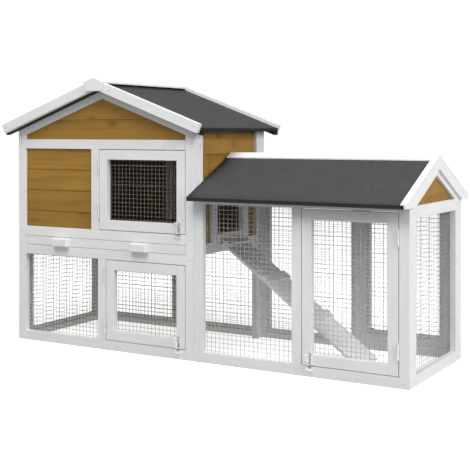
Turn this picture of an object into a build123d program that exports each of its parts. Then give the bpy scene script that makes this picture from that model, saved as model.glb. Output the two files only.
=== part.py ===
from build123d import *
import math
import os

# Rabbit hutch: a two-storey gabled house on the left, a low gabled run on the right.
# Every helper takes lengths in millimetres measured on the hutch itself:
#   u from the house's left face, v from the front face towards the back, z up from the ground.
# The written parts are centred on the ground under the middle of the whole hutch.

# Overall sizes
HOUSE_W = 683.0          # house, left face to right face
RUN_W = 671.0            # run, left face to right face
DEPTH = 434.0            # front face to back face of the walls
RIGHT = HOUSE_W + RUN_W  # right face of the run

# Stock
STOCK_W = 30.0           # width of the white battens
STOCK_T = 18.0           # thickness of the white battens
SIDE_STILE = 33.0        # side wall stiles, which stand between the front and back walls
BOARD_T = 7.0            # siding thickness
BOARD_PITCH = 67.0       # visible height of one siding board
SEAM = 0.4               # gap above each siding board
BOARD_SETBACK = 7.0      # siding behind the face of the front and back frames
SIDE_SETBACK = 11.0      # siding behind the face of the side frames
EAVE_BATTEN = 22.0       # square batten inside the top of each side wall
DOOR_GAP = 2.0           # gap around a door
SLIP = 0.5               # clearance kept between loose neighbours

# Heights on the house
LOWER_RAIL = 282.0       # underside of the rail below the tray
TRAY_BOTTOM = LOWER_RAIL + STOCK_W
UPPER_RAIL = TRAY_BOTTOM + STOCK_W
SIDING_BOTTOM = UPPER_RAIL + STOCK_W
TOP_RAIL = 625.0         # underside of the rail below the gable

# Upright places along the front and back (left edges)
UPPER_MULLION = 300.5
LOWER_MULLION = 327.0
RUN_MULLION = 1006.0

# Roofs
BARGE_T = 17.0           # bargeboard thickness
BARGE_W = 29.0           # bargeboard width
PANEL_T = 8.5            # roof board thickness
FELT_T = 2.0             # roofing felt thickness
HOUSE_SLOPE = math.radians(20.1)
HOUSE_HALF = 381.5       # half the width of the house roof, measured flat
HOUSE_RIDGE = 830.0      # top of the felt at the ridge
HOUSE_OVER = 19.0        # felt past the front wall
HOUSE_OVER_BACK = 27.0   # felt past the back wall
BARGE_PROUD = 11.0       # house bargeboards above the felt
VERGE_BATTEN_T = 11.0    # battens under the roof boards where they pass the front and back walls
PLATE_T = 9.0            # plate over the front bargeboards' joint
APEX_PLATE = ((-28, 805), (28, 805), (38, 832), (0, 846), (-38, 832))   # from the ridge line, height
RIDGE_STRIP_W = 30.0
RIDGE_STRIP_T = 6.0
RUN_SLOPE = math.radians(25.3)
RUN_HALF = 262.0         # half the depth of the run roof, measured flat
RUN_RIDGE = 611.0
RUN_OVER = 8.0           # thickness of the run's bargeboards, outside the right wall
VERGE_W = 17.0           # strip over the felt's edge and the bargeboard
VERGE_T = 4.0
RUN_BARGE_W = 33.0       # run bargeboard width, measured square to the slope
RUN_TAIL = 478.0         # level cut under the run bargeboards' tails
CAP_W = 32.0             # ridge cap batten width along the slope
CAP_T = 4.0
RUN_TOP_RAIL = 467.0     # underside of the rail over the run's front
END_RAIL = 448.0         # underside of the rail across the run's end

# Wire mesh
MESH_CELL = 25.4
MESH_WEB = 1.6
MESH_T = 1.2
MESH_LAP = 10.0          # mesh hidden behind each frame member

# Pop-hole and ramp
POP_FRONT = 136.0
POP_BACK = 294.0
POP_SILL = 366.0
POP_HEAD = 515.0
POP_STILE = 32.0         # width of the upright battens beside the pop-hole
RAMP_FRONT = 151.0
RAMP_BACK = 289.0
RAMP_T = 8.0
RAMP_SLOPE = math.radians(36.2)
RAMP_PIVOT_U = HOUSE_W + 6.0
RAMP_PIVOT_Z = 338.5
RAMP_LENGTH = 566.0
RAMP_UNDER = -4.5        # underside of the ramp board from the hinge axis, square to the ramp
RAMP_HINGES = (172.0, 268.0)
RAMP_LEAF_W = 24.0
RAMP_LEAF_T = 1.2
RAMP_LEAF_REACH = 26.0
RAMP_KNUCKLE_W = 8.0
BRACKET_T = 1.5
CLEAT_T = 8.0
CLEATS = ((5.0, 16.0), (171.0, 30.0), (353.0, 30.0))   # start along the ramp, width

# Hinges and bolts
HINGE_H = 46.0
KNUCKLE_R = 3.0
KNUCKLE_OUT = 3.4        # hinge axis in front of the wall face
LEAF_T = 0.7
LEAF_D = 14.0
PIN_R = 1.2
PIN_FIT = 0.05
BOLT_R = 2.5
BOLT_OUT = 5.5           # bolt axis in front of the wall face
BOLT_LEN = 36.0
BOLT_FIT = 0.08
BOLT_PLATE = (26.0, 1.0, 34.0)      # width, then lower and upper edge from the door's underside
BOLT_GUIDES = (2.0, 28.0)           # underside of each guide from the door's underside
BOLT_KEEPER = (22.0, -16.0, -3.0)   # width, then lower and upper edge
KEEPER_BRIDGE = -8.5                # underside of the keeper's bridge
KEEPER_FIT = 0.9                    # room around the bolt in the keeper, which is a loose fit
BOLT_START = 0.6                    # lower end of the drawn bolt
KNOB_PLACE = 24.9                   # knob from the bolt's lower end
KNOB_R = 1.9
KNOB_REACH = 10.0
PLATE_SHEET = 1.0
GUIDE_R = 4.6                       # outside radius of the loops that guide a bolt
GUIDE_H = 5.0

# Screw heads
HEAD_R = 3.2
HEAD_H = 0.7

# Tray
TRAY_FLOOR = 4.0
TRAY_WALL = 10.0
TRAY_DEPTH = 372.0
HANDLE_W = 58.0
HANDLE_H = 25.0
HANDLE_OUT = 18.0
HANDLE_SPREAD = 306.0    # between the middles of the two handles
RUNNER_W = 28.0
RUNNER_H = 7.0

# Centre of the whole hutch, used for the origin
LEFT_END = HOUSE_W / 2 - HOUSE_HALF
RIGHT_END = RIGHT + RUN_OVER + HEAD_H
CENTRE_U = (LEFT_END + RIGHT_END) / 2
CENTRE_V = DEPTH / 2

PARTS = "parts"
os.makedirs(PARTS, exist_ok=True)


def at(u, v, z):
    """A point of the hutch in the part's own frame."""
    return Vector(u - CENTRE_U, v - CENTRE_V, z)


def save(name, solids):
    """Write one node as a group of separate solids."""
    export_step(Compound(children=list(solids)), f"{PARTS}/{name}.step")


def block(u0, u1, v0, v1, z0, z1):
    corner = at(u0, v0, z0)
    box = Box(u1 - u0, v1 - v0, z1 - z0, align=(Align.MIN, Align.MIN, Align.MIN))
    return Pos(corner.X, corner.Y, corner.Z) * box


def prism(points, reach):
    """A closed outline pushed along a vector."""
    outline = Wire.make_polygon(points, close=True)
    return Solid.extrude(Face(outline), Vector(*reach))


def gable_prism(points_uz, v0, v1):
    return prism([at(u, v0, z) for u, z in points_uz], (0, v1 - v0, 0))


def end_prism(points_vz, u0, u1):
    return prism([at(u0, v, z) for v, z in points_vz], (u1 - u0, 0, 0))


def rod(u, v, z, radius, length, direction):
    """A round bar that starts at a point and runs along a direction."""
    return Solid.make_cylinder(radius, length, Plane(at(u, v, z), z_dir=direction))


def house_line(u, drop):
    """Height of a line parallel to the house roof, a drop below the felt at the ridge."""
    return HOUSE_RIDGE - drop - math.tan(HOUSE_SLOPE) * abs(u - HOUSE_W / 2)


def run_line(v, drop):
    return RUN_RIDGE - drop - math.tan(RUN_SLOPE) * abs(v - DEPTH / 2)


HOUSE_ROOF_DROP = (PANEL_T + FELT_T) / math.cos(HOUSE_SLOPE)
RUN_ROOF_DROP = (PANEL_T + FELT_T) / math.cos(RUN_SLOPE)
HOUSE_RAKE_DROP = HOUSE_ROOF_DROP + 35.0
RUN_RAKE_DROP = RUN_ROOF_DROP + 42.0


def wire_sheet(start, along, up, thick, width, height):
    """A flat sheet of square mesh: start corner, two edge directions and its thickness vector."""
    columns = max(1, round((width - MESH_WEB) / MESH_CELL))
    rows = max(1, round((height - MESH_WEB) / MESH_CELL))
    step_a = (width - MESH_WEB) / columns
    step_b = (height - MESH_WEB) / rows

    def corner(a, b):
        return start + along * a + up * b

    def ring(a0, a1, b0, b1):
        return Wire.make_polygon([corner(a0, b0), corner(a1, b0), corner(a1, b1), corner(a0, b1)], close=True)

    holes = []
    for i in range(columns):
        for j in range(rows):
            a0 = MESH_WEB + i * step_a
            b0 = MESH_WEB + j * step_b
            holes.append(ring(a0, a0 + step_a - MESH_WEB, b0, b0 + step_b - MESH_WEB))
    return Solid.extrude(Face(ring(0, width, 0, height), holes), thick)


def front_mesh(u0, u1, z0, z1, v):
    """Mesh over an opening of the front or back, its near face at v."""
    width = u1 - u0 + 2 * MESH_LAP
    height = z1 - z0 + 2 * MESH_LAP
    start = at(u0 - MESH_LAP, v, z0 - MESH_LAP)
    return wire_sheet(start, Vector(1, 0, 0), Vector(0, 0, 1), Vector(0, MESH_T, 0), width, height)


def side_mesh(v0, v1, z0, z1, u):
    """Mesh over an opening of a side wall, its left face at u."""
    width = v1 - v0 + 2 * MESH_LAP
    height = z1 - z0 + 2 * MESH_LAP
    start = at(u, v0 - MESH_LAP, z0 - MESH_LAP)
    return wire_sheet(start, Vector(0, 1, 0), Vector(0, 0, 1), Vector(MESH_T, 0, 0), width, height)


def levels(bottom, top, first):
    """Board edges from bottom to top, with seams at first and every board pitch above it."""
    edges = [bottom]
    seam = first
    while seam < top - 8:
        if seam > bottom + 8:
            edges.append(seam)
        seam += BOARD_PITCH
    return edges + [top]


def siding(u0, u1, v0, bottom, top, first):
    edges = levels(bottom, top, first)
    return [block(u0, u1, v0, v0 + BOARD_T, a, b - SEAM) for a, b in zip(edges, edges[1:])]


def gable_siding(v0):
    """Boards that fill the triangle above the top rail, inside the raking battens."""
    base = TOP_RAIL + STOCK_W
    edges = levels(base, house_line(HOUSE_W / 2, HOUSE_RAKE_DROP), base + BOARD_PITCH - 4)
    middle = HOUSE_W / 2
    side = STOCK_W
    shoulder = house_line(side, HOUSE_RAKE_DROP)

    def half_width(z):
        reach = (house_line(middle, HOUSE_RAKE_DROP) - z) / math.tan(HOUSE_SLOPE)
        return min(middle - side, max(reach, 0.0))

    boards = []
    for bottom, top in zip(edges, edges[1:]):
        upper = top - SEAM if top < edges[-1] else top
        marks = [bottom] + ([shoulder] if bottom < shoulder < upper else []) + [upper]
        left = [(middle - half_width(z), z) for z in marks]
        right = [(middle + half_width(z), z) for z in reversed(marks)]
        outline = left + right if half_width(upper) > 0.01 else left + right[1:]
        boards.append(gable_prism(outline, v0, v0 + BOARD_T))
    return boards


def post_outline(u0, u1):
    """A post from the ground to the underside of the house roof."""
    top = [(u1, house_line(u1, HOUSE_ROOF_DROP)), (u0, house_line(u0, HOUSE_ROOF_DROP))]
    return [(u0, 0), (u1, 0)] + top


def house_wall_frame(v0, has_tray):
    """Posts, mullions, rails and raking battens of the house's front or back."""
    v1 = v0 + STOCK_T
    middle = HOUSE_W / 2
    pieces = []
    for u0, u1 in ((0.0, STOCK_W), (HOUSE_W - STOCK_W, HOUSE_W)):
        pieces.append(gable_prism(post_outline(u0, u1), v0, v1))
    inner = (STOCK_W, HOUSE_W - STOCK_W)
    rails = [0.0, LOWER_RAIL, UPPER_RAIL, TOP_RAIL]
    if not has_tray:
        rails.append(TRAY_BOTTOM)
    pieces += [block(*inner, v0, v1, z, z + STOCK_W) for z in rails]
    pieces.append(block(LOWER_MULLION, LOWER_MULLION + STOCK_W, v0, v1, STOCK_W, LOWER_RAIL))
    pieces.append(block(UPPER_MULLION, UPPER_MULLION + STOCK_W, v0, v1, SIDING_BOTTOM, TOP_RAIL))
    for edge in inner:
        outline = [(edge, house_line(edge, HOUSE_RAKE_DROP)), (middle, house_line(middle, HOUSE_RAKE_DROP)),
                   (middle, house_line(middle, HOUSE_ROOF_DROP)), (edge, house_line(edge, HOUSE_ROOF_DROP))]
        pieces.append(gable_prism(outline, v0, v1))
    return pieces


def house_front():
    save("house_front_frame", house_wall_frame(0.0, True))
    first = TOP_RAIL - 3 * BOARD_PITCH
    boards = siding(STOCK_W, UPPER_MULLION, BOARD_SETBACK, SIDING_BOTTOM, TOP_RAIL, first)
    save("house_front_boards", boards + gable_siding(BOARD_SETBACK))
    save("house_front_mesh", [front_mesh(STOCK_W, LOWER_MULLION, STOCK_W, LOWER_RAIL, STOCK_T)])


def house_back():
    v0 = DEPTH - STOCK_T
    board_v = DEPTH - BOARD_SETBACK - BOARD_T
    first = TOP_RAIL - 3 * BOARD_PITCH
    save("house_back_frame", house_wall_frame(v0, False))
    boards = siding(STOCK_W, UPPER_MULLION, board_v, SIDING_BOTTOM, TOP_RAIL, first)
    boards += siding(UPPER_MULLION + STOCK_W, HOUSE_W - STOCK_W, board_v, SIDING_BOTTOM, TOP_RAIL, first)
    save("house_back_boards", boards + gable_siding(board_v))
    mesh_v = v0 - MESH_T
    gap = 2 * MESH_LAP
    left = front_mesh(STOCK_W, LOWER_MULLION, STOCK_W, LOWER_RAIL, mesh_v)
    right = front_mesh(LOWER_MULLION + gap + SLIP, HOUSE_W - STOCK_W, STOCK_W, LOWER_RAIL, mesh_v)
    save("house_back_mesh", [left, right])


def side_frame(is_left, rails):
    """Two stiles and the rails of one side wall of the house, with an eave batten inside."""
    u0 = 0.0 if is_left else HOUSE_W - STOCK_T
    u1 = u0 + STOCK_T
    front, back = STOCK_T, DEPTH - STOCK_T
    pieces = []
    for v0, v1 in ((front, front + SIDE_STILE), (back - SIDE_STILE, back)):
        pieces.append(gable_prism(post_outline(u0, u1), v0, v1))
    pieces += [block(u0, u1, front + SIDE_STILE, back - SIDE_STILE, z, z + STOCK_W) for z in rails]
    batten = (u1, u1 + EAVE_BATTEN) if is_left else (u0 - EAVE_BATTEN, u0)
    top = wall_top(u0, u1)
    pieces.append(block(*batten, front + SIDE_STILE, back - SIDE_STILE, top - EAVE_BATTEN, top))
    return pieces


def wall_top(u0, u1):
    return min(house_line(u0, HOUSE_ROOF_DROP), house_line(u1, HOUSE_ROOF_DROP))


def house_left():
    save("house_left_frame", side_frame(True, (0.0, TRAY_BOTTOM)))
    front, back = STOCK_T + SIDE_STILE, DEPTH - STOCK_T - SIDE_STILE
    u0 = SIDE_SETBACK
    bottom = TRAY_BOTTOM + STOCK_W
    edges = levels(bottom, wall_top(u0, u0 + BOARD_T), bottom + BOARD_PITCH)
    boards = [block(u0, u0 + BOARD_T, front, back, a, b - SEAM) for a, b in zip(edges, edges[1:])]
    save("house_left_boards", boards)
    save("house_left_mesh", [side_mesh(front, back, STOCK_W, TRAY_BOTTOM, STOCK_T)])


def house_right():
    """The wall between house and run, with the pop-hole that the ramp leads to."""
    u0 = HOUSE_W - STOCK_T
    frame = side_frame(False, (TRAY_BOTTOM,))
    wall_bottom = TRAY_BOTTOM + STOCK_W
    stile = POP_STILE
    save("house_right_frame", frame)
    surround = [block(u0, HOUSE_W, POP_FRONT - stile, POP_FRONT, wall_bottom, POP_HEAD + STOCK_W),
                block(u0, HOUSE_W, POP_BACK, POP_BACK + stile, wall_bottom, POP_HEAD + STOCK_W),
                block(u0, HOUSE_W, POP_FRONT, POP_BACK, wall_bottom, POP_SILL),
                block(u0, HOUSE_W, POP_FRONT, POP_BACK, POP_HEAD, POP_HEAD + STOCK_W)]
    save("pop_hole_surround", surround)
    front, back = STOCK_T + SIDE_STILE, DEPTH - STOCK_T - SIDE_STILE
    b0 = HOUSE_W - SIDE_SETBACK - BOARD_T
    b1 = b0 + BOARD_T
    edges = levels(wall_bottom, wall_top(b0, b1), wall_bottom + BOARD_PITCH)
    boards = []
    for a, b in zip(edges, edges[1:]):
        if a < POP_HEAD + STOCK_W < b:
            boards += [block(b0, b1, front, POP_FRONT - stile, a, b - SEAM),
                       block(b0, b1, POP_BACK + stile, back, a, b - SEAM),
                       block(b0, b1, POP_FRONT - stile, POP_BACK + stile, POP_HEAD + STOCK_W, b - SEAM)]
        elif a < POP_HEAD:
            boards += [block(b0, b1, front, POP_FRONT - stile, a, b - SEAM),
                       block(b0, b1, POP_BACK + stile, back, a, b - SEAM)]
        else:
            boards.append(block(b0, b1, front, back, a, b - SEAM))
    save("house_right_boards", boards)


def house_roof_side(sign, v0, v1, top_drop, bottom_drop, trim):
    """One sloping slab of the house roof: sign -1 is the left side, 1 the right."""
    middle = HOUSE_W / 2
    edge = middle + sign * (HOUSE_HALF - trim)
    outline = [(middle, house_line(middle, bottom_drop)), (middle, house_line(middle, top_drop)),
               (edge, house_line(edge, top_drop)), (edge, house_line(edge, bottom_drop))]
    return gable_prism(outline, v0, v1)


def house_roof():
    v0, v1 = -HOUSE_OVER, DEPTH + HOUSE_OVER_BACK
    felt_drop = FELT_T / math.cos(HOUSE_SLOPE)
    sides = (-1, 1)
    boards = [house_roof_side(s, v0, v1, felt_drop, HOUSE_ROOF_DROP, 3.0) for s in sides]
    batten_drop = HOUSE_ROOF_DROP + VERGE_BATTEN_T / math.cos(HOUSE_SLOPE)
    for start, end in ((v0, -SLIP), (DEPTH + SLIP, v1)):
        boards += [house_roof_side(s, start, end, HOUSE_ROOF_DROP, batten_drop, 3.0) for s in sides]
    save("house_roof_boards", boards)
    save("house_roof_felt", [house_roof_side(s, v0, v1, 0.0, felt_drop, 1.0) for s in sides])
    top = -BARGE_PROUD / math.cos(HOUSE_SLOPE)
    bottom = top + BARGE_W / math.cos(HOUSE_SLOPE)
    for name, start in (("front_bargeboards", v0 - BARGE_T), ("back_bargeboards", v1)):
        save(name, [square_ended_barge(s, start, top, bottom) for s in sides])
    ridge = HOUSE_RIDGE
    middle = HOUSE_W / 2
    half = RIDGE_STRIP_W / 2
    strip = block(middle - half, middle + half, v0, v1, ridge + 0.3, ridge + 0.3 + RIDGE_STRIP_T)
    save("house_ridge_strip", [strip])
    plate = [(middle + across, z) for across, z in APEX_PLATE]
    save("apex_plate", [gable_prism(plate, v0 - BARGE_T - PLATE_T, v0 - BARGE_T)])


def square_ended_barge(sign, v0, top, bottom):
    """A house bargeboard, mitred at the ridge and cut square at the eave."""
    middle = HOUSE_W / 2
    edge = middle + sign * HOUSE_HALF
    back = sign * BARGE_W * math.sin(HOUSE_SLOPE)
    low = house_line(edge, top) - BARGE_W * math.cos(HOUSE_SLOPE)
    outline = [(middle, house_line(middle, bottom)), (middle, house_line(middle, top)),
               (edge, house_line(edge, top)), (edge - back, low)]
    return gable_prism(outline, v0, v0 + BARGE_T)


def run_wall_frame(v0):
    """Posts, mullion and rails of the run's front or back."""
    v1 = v0 + STOCK_T
    left, right = HOUSE_W + SLIP, RIGHT
    underside = min(run_line(v0, RUN_ROOF_DROP), run_line(v1, RUN_ROOF_DROP)) - 0.2
    pieces = [block(left, left + STOCK_W, v0, v1, 0, underside),
              block(right - STOCK_W, right, v0, v1, 0, underside)]
    for z0, z1 in ((0.0, STOCK_W), (RUN_TOP_RAIL, underside)):
        pieces.append(block(left + STOCK_W, right - STOCK_W, v0, v1, z0, z1))
    pieces.append(block(RUN_MULLION, RUN_MULLION + STOCK_W, v0, v1, STOCK_W, RUN_TOP_RAIL))
    return pieces


def run_end():
    """Right-hand end wall of the run: stiles, rails, raking battens, mesh and gable board."""
    u0, u1 = RIGHT - STOCK_T, RIGHT
    front, back = STOCK_T, DEPTH - STOCK_T
    middle = DEPTH / 2
    pieces = []
    for v0, v1 in ((front, front + SIDE_STILE), (back - SIDE_STILE, back)):
        outline = [(v0, 0), (v1, 0), (v1, run_line(v1, RUN_ROOF_DROP)), (v0, run_line(v0, RUN_ROOF_DROP))]
        pieces.append(end_prism(outline, u0, u1))
    a, b = front + SIDE_STILE, back - SIDE_STILE
    pieces.append(block(u0, u1, a, b, 0, STOCK_W))
    pieces.append(block(u0, u1, a, b, END_RAIL, END_RAIL + SIDE_STILE))
    for edge in (a, b):
        outline = [(edge, run_line(edge, RUN_RAKE_DROP)), (middle, run_line(middle, RUN_RAKE_DROP)),
                   (middle, run_line(middle, RUN_ROOF_DROP)), (edge, run_line(edge, RUN_ROOF_DROP))]
        pieces.append(end_prism(outline, u0, u1))
    save("run_end_frame", pieces)
    base = END_RAIL + SIDE_STILE
    peak = run_line(middle, RUN_RAKE_DROP)
    reach = (peak - base) / math.tan(RUN_SLOPE)
    outline = [(middle - reach, base), (middle + reach, base), (middle, peak)]
    save("run_gable_board", [end_prism(outline, u0 + 2, u0 + 2 + BOARD_T)])
    save("run_end_mesh", [side_mesh(a, b, STOCK_W, END_RAIL, u0 - MESH_T)])


def run_walls():
    back_v = DEPTH - STOCK_T
    save("run_front_frame", run_wall_frame(0.0))
    save("run_back_frame", run_wall_frame(back_v))
    opening = (HOUSE_W + SLIP + STOCK_W, RUN_MULLION, STOCK_W, RUN_TOP_RAIL)
    save("run_front_mesh", [front_mesh(*opening, STOCK_T)])
    save("run_back_mesh", [front_mesh(*opening, back_v - MESH_T)])


def run_roof_slab(sign, u0, u1, top_drop, bottom_drop, trim):
    middle = DEPTH / 2
    edge = middle + sign * (RUN_HALF - trim)
    outline = [(middle, run_line(middle, bottom_drop)), (middle, run_line(middle, top_drop)),
               (edge, run_line(edge, top_drop)), (edge, run_line(edge, bottom_drop))]
    return end_prism(outline, u0, u1)


def run_roof():
    u0, u1 = HOUSE_W + SLIP, RIGHT
    felt_drop = FELT_T / math.cos(RUN_SLOPE)
    sides = (-1, 1)
    save("run_roof_boards", [run_roof_slab(s, u0, u1, felt_drop, RUN_ROOF_DROP, 3.0) for s in sides])
    save("run_roof_felt", [run_roof_slab(s, u0, u1, 0.0, felt_drop, 1.0) for s in sides])
    bottom = RUN_BARGE_W / math.cos(RUN_SLOPE)
    verge = VERGE_T / math.cos(RUN_SLOPE)
    middle = DEPTH / 2
    boards = []
    for s in sides:
        edge = middle + s * RUN_HALF
        cut = middle + s * (RUN_RIDGE - bottom - RUN_TAIL) / math.tan(RUN_SLOPE)
        outline = [(middle, run_line(middle, bottom)), (middle, run_line(middle, 0)),
                   (edge, run_line(edge, 0)), (edge, RUN_TAIL), (cut, RUN_TAIL)]
        boards.append(end_prism(outline, u1, RIGHT + RUN_OVER))
        outline = [(middle, run_line(middle, 0)), (middle, run_line(middle, -verge)),
                   (edge, run_line(edge, -verge)), (edge, run_line(edge, 0))]
        boards.append(end_prism(outline, RIGHT + RUN_OVER - VERGE_W, RIGHT + RUN_OVER))
    save("run_bargeboards", boards)
    reach = CAP_W * math.cos(RUN_SLOPE)
    skirt = CAP_T / math.cos(RUN_SLOPE)
    caps = []
    for s in sides:
        edge = middle + s * reach
        outline = [(middle, run_line(middle, 0)), (middle, run_line(middle, -skirt)),
                   (edge, run_line(edge, -skirt)), (edge, run_line(edge, 0))]
        caps.append(end_prism(outline, u0, RIGHT + RUN_OVER - VERGE_W))
    save("run_ridge_cap", caps)


# Doors: left and right edge of the opening, bottom and top of the opening, which wall, hinge side
DOORS = {
    "upper_door": (UPPER_MULLION + STOCK_W, HOUSE_W - STOCK_W, SIDING_BOTTOM, TOP_RAIL, "front", "left"),
    "lower_door": (LOWER_MULLION + STOCK_W, HOUSE_W - STOCK_W, STOCK_W, LOWER_RAIL, "front", "left"),
    "run_door": (RUN_MULLION + STOCK_W, RIGHT - STOCK_W, STOCK_W, RUN_TOP_RAIL, "front", "right"),
    "run_back_door": (RUN_MULLION + STOCK_W, RIGHT - STOCK_W, STOCK_W, RUN_TOP_RAIL, "back", "right"),
}
HINGE_PLACES = {
    "upper_door": (431.0, 569.0),
    "lower_door": (78.0, 234.0),
    "run_door": (98.0, 398.0),
    "run_back_door": (98.0, 398.0),
}


def door_leaf(name):
    """Frame of a door, with butt-jointed stiles and rails, and the mesh stapled behind it."""
    u0, u1, z0, z1, wall, _ = DOORS[name]
    u0, u1, z0, z1 = u0 + DOOR_GAP, u1 - DOOR_GAP, z0 + DOOR_GAP, z1 - DOOR_GAP
    v0 = 0.0 if wall == "front" else DEPTH - STOCK_T
    v1 = v0 + STOCK_T
    pieces = [block(u0, u0 + STOCK_W, v0, v1, z0, z1), block(u1 - STOCK_W, u1, v0, v1, z0, z1)]
    inner = (u0 + STOCK_W, u1 - STOCK_W)
    pieces += [block(*inner, v0, v1, z0, z0 + STOCK_W), block(*inner, v0, v1, z1 - STOCK_W, z1)]
    save(f"{name}_frame", pieces)
    mesh_v = v1 if wall == "front" else v0 - MESH_T
    save(f"{name}_mesh", [front_mesh(*inner, z0 + STOCK_W, z1 - STOCK_W, mesh_v)])


def door_hinges(name):
    """Moving leaves, fixed leaves and pins of one door's two butt hinges."""
    u0, u1, _, _, wall, side = DOORS[name]
    out = -1 if wall == "front" else 1
    face = 0.0 if wall == "front" else DEPTH
    turn = 1 if side == "left" else -1
    edge = u0 if side == "left" else u1
    axis_u = edge + turn * DOOR_GAP / 2
    axis_v = face + out * KNUCKLE_OUT
    clear = 0.3
    third = HINGE_H / 3

    def leaf(start_u, mid_z, spans, root_clear):
        low, high = sorted((start_u, start_u + root_clear))
        deep = sorted((face - out * 0.1, face - out * LEAF_D))
        plate = block(low, high, *deep, mid_z - HINGE_H / 2, mid_z + HINGE_H / 2)
        solid = plate
        for z0, z1 in spans:
            neck = sorted((axis_v, face - out * 0.1))
            solid = solid + block(low, high, *neck, z0, z1)
            solid = solid + rod(axis_u, axis_v, z0, KNUCKLE_R, z1 - z0, (0, 0, 1))
        bore = rod(axis_u, axis_v, mid_z - HINGE_H, PIN_R + PIN_FIT, 2 * HINGE_H, (0, 0, 1))
        return solid - bore

    moving, fixed, pins = [], [], []
    for mid_z in HINGE_PLACES[name]:
        bottom = mid_z - HINGE_H / 2
        fixed_span = [(bottom + third + clear, bottom + 2 * third - clear)]
        moving_span = [(bottom, bottom + third), (bottom + 2 * third, bottom + HINGE_H)]
        fixed.append(leaf(edge, mid_z, fixed_span, turn * LEAF_T))
        moving.append(leaf(edge + turn * DOOR_GAP, mid_z, moving_span, -turn * LEAF_T))
        pins.append(rod(axis_u, axis_v, bottom - 0.8, PIN_R, HINGE_H + 1.6, (0, 0, 1)))
    save(f"{name}_hinge_leaves", moving)
    return fixed, pins


def ramp_point(along, normal):
    """A point of the ramp from its hinge axis: along the ramp, then square to it."""
    u = RAMP_PIVOT_U + along * math.cos(RAMP_SLOPE) + normal * math.sin(RAMP_SLOPE)
    z = RAMP_PIVOT_Z - along * math.sin(RAMP_SLOPE) + normal * math.cos(RAMP_SLOPE)
    return u, z


def ramp_slab(a0, a1, n0, n1, v0, v1):
    corners = [ramp_point(a0, n0), ramp_point(a1, n0), ramp_point(a1, n1), ramp_point(a0, n1)]
    return gable_prism(corners, v0, v1)


def ramp():
    top = RAMP_UNDER + RAMP_T
    save("ramp_board", [ramp_slab(5.0, RAMP_LENGTH, RAMP_UNDER, top, RAMP_FRONT, RAMP_BACK)])
    cleats = []
    for start, width in CLEATS:
        cleats.append(ramp_slab(start, start + width, top, top + CLEAT_T, RAMP_FRONT, RAMP_BACK))
    save("ramp_cleats", cleats)


def ramp_hinges():
    """Two small hinges under the pop-hole: leaves on the ramp, brackets on the wall, pins."""
    half, knuckle = RAMP_LEAF_W / 2, RAMP_KNUCKLE_W / 2
    u, z = RAMP_PIVOT_U, RAMP_PIVOT_Z
    under = RAMP_UNDER - RAMP_LEAF_T
    moving, fixed, pins = [], [], []
    for v in RAMP_HINGES:
        bore = rod(u, v - RAMP_LEAF_W, z, PIN_R + PIN_FIT, 2 * RAMP_LEAF_W, (0, 1, 0))
        leaf = ramp_slab(2.0, RAMP_LEAF_REACH, under, RAMP_UNDER, v - half, v + half)
        length = half - knuckle - SEAM
        for v0 in (v - half, v + knuckle + SEAM):
            leaf = leaf + rod(u, v0, z, KNUCKLE_R, length, (0, 1, 0))
            leaf = leaf + ramp_slab(0.0, 4.9, under, 0.0, v0, v0 + length)
        slot = rod(u, v - knuckle - SEAM, z, 2 * KNUCKLE_R + SEAM, 2 * (knuckle + SEAM), (0, 1, 0))
        moving.append(leaf - slot - bore)
        wall = (HOUSE_W, HOUSE_W + BRACKET_T)
        bracket = block(*wall, v - half, v + half, z - 22, z - 7)
        bracket = bracket + block(*wall, v - knuckle, v + knuckle, z - 8, z)
        bracket = bracket + block(HOUSE_W, u, v - knuckle, v + knuckle, z - 1, z + 1)
        bracket = bracket + rod(u, v - knuckle, z, KNUCKLE_R, 2 * knuckle, (0, 1, 0))
        fixed.append(bracket - bore)
        pins.append(rod(u, v - half - 0.8, z, PIN_R, RAMP_LEAF_W + 1.6, (0, 1, 0)))
    save("ramp_hinge_leaves", moving)
    return fixed, pins


# Bolts: middle of the bolt across the door, and the underside of the door
BOLTS = {
    "upper_bolt": (626.0, SIDING_BOTTOM + DOOR_GAP, "front"),
    "lower_bolt": (626.0, STOCK_W + DOOR_GAP, "front"),
    "run_bolt": (1061.0, STOCK_W + DOOR_GAP, "front"),
    "run_back_bolt": (1061.0, STOCK_W + DOOR_GAP, "back"),
}
def loop(u, face, out, z0, z1):
    """A plate with one round loop standing out of it."""
    axis_v = face + out * BOLT_OUT
    ring = rod(u, axis_v, z0, GUIDE_R, z1 - z0, (0, 0, 1))
    foot = sorted((face + out * 0.6, axis_v))
    ring = ring + block(u - GUIDE_R, u + GUIDE_R, *foot, z0, z1)
    return ring


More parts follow.
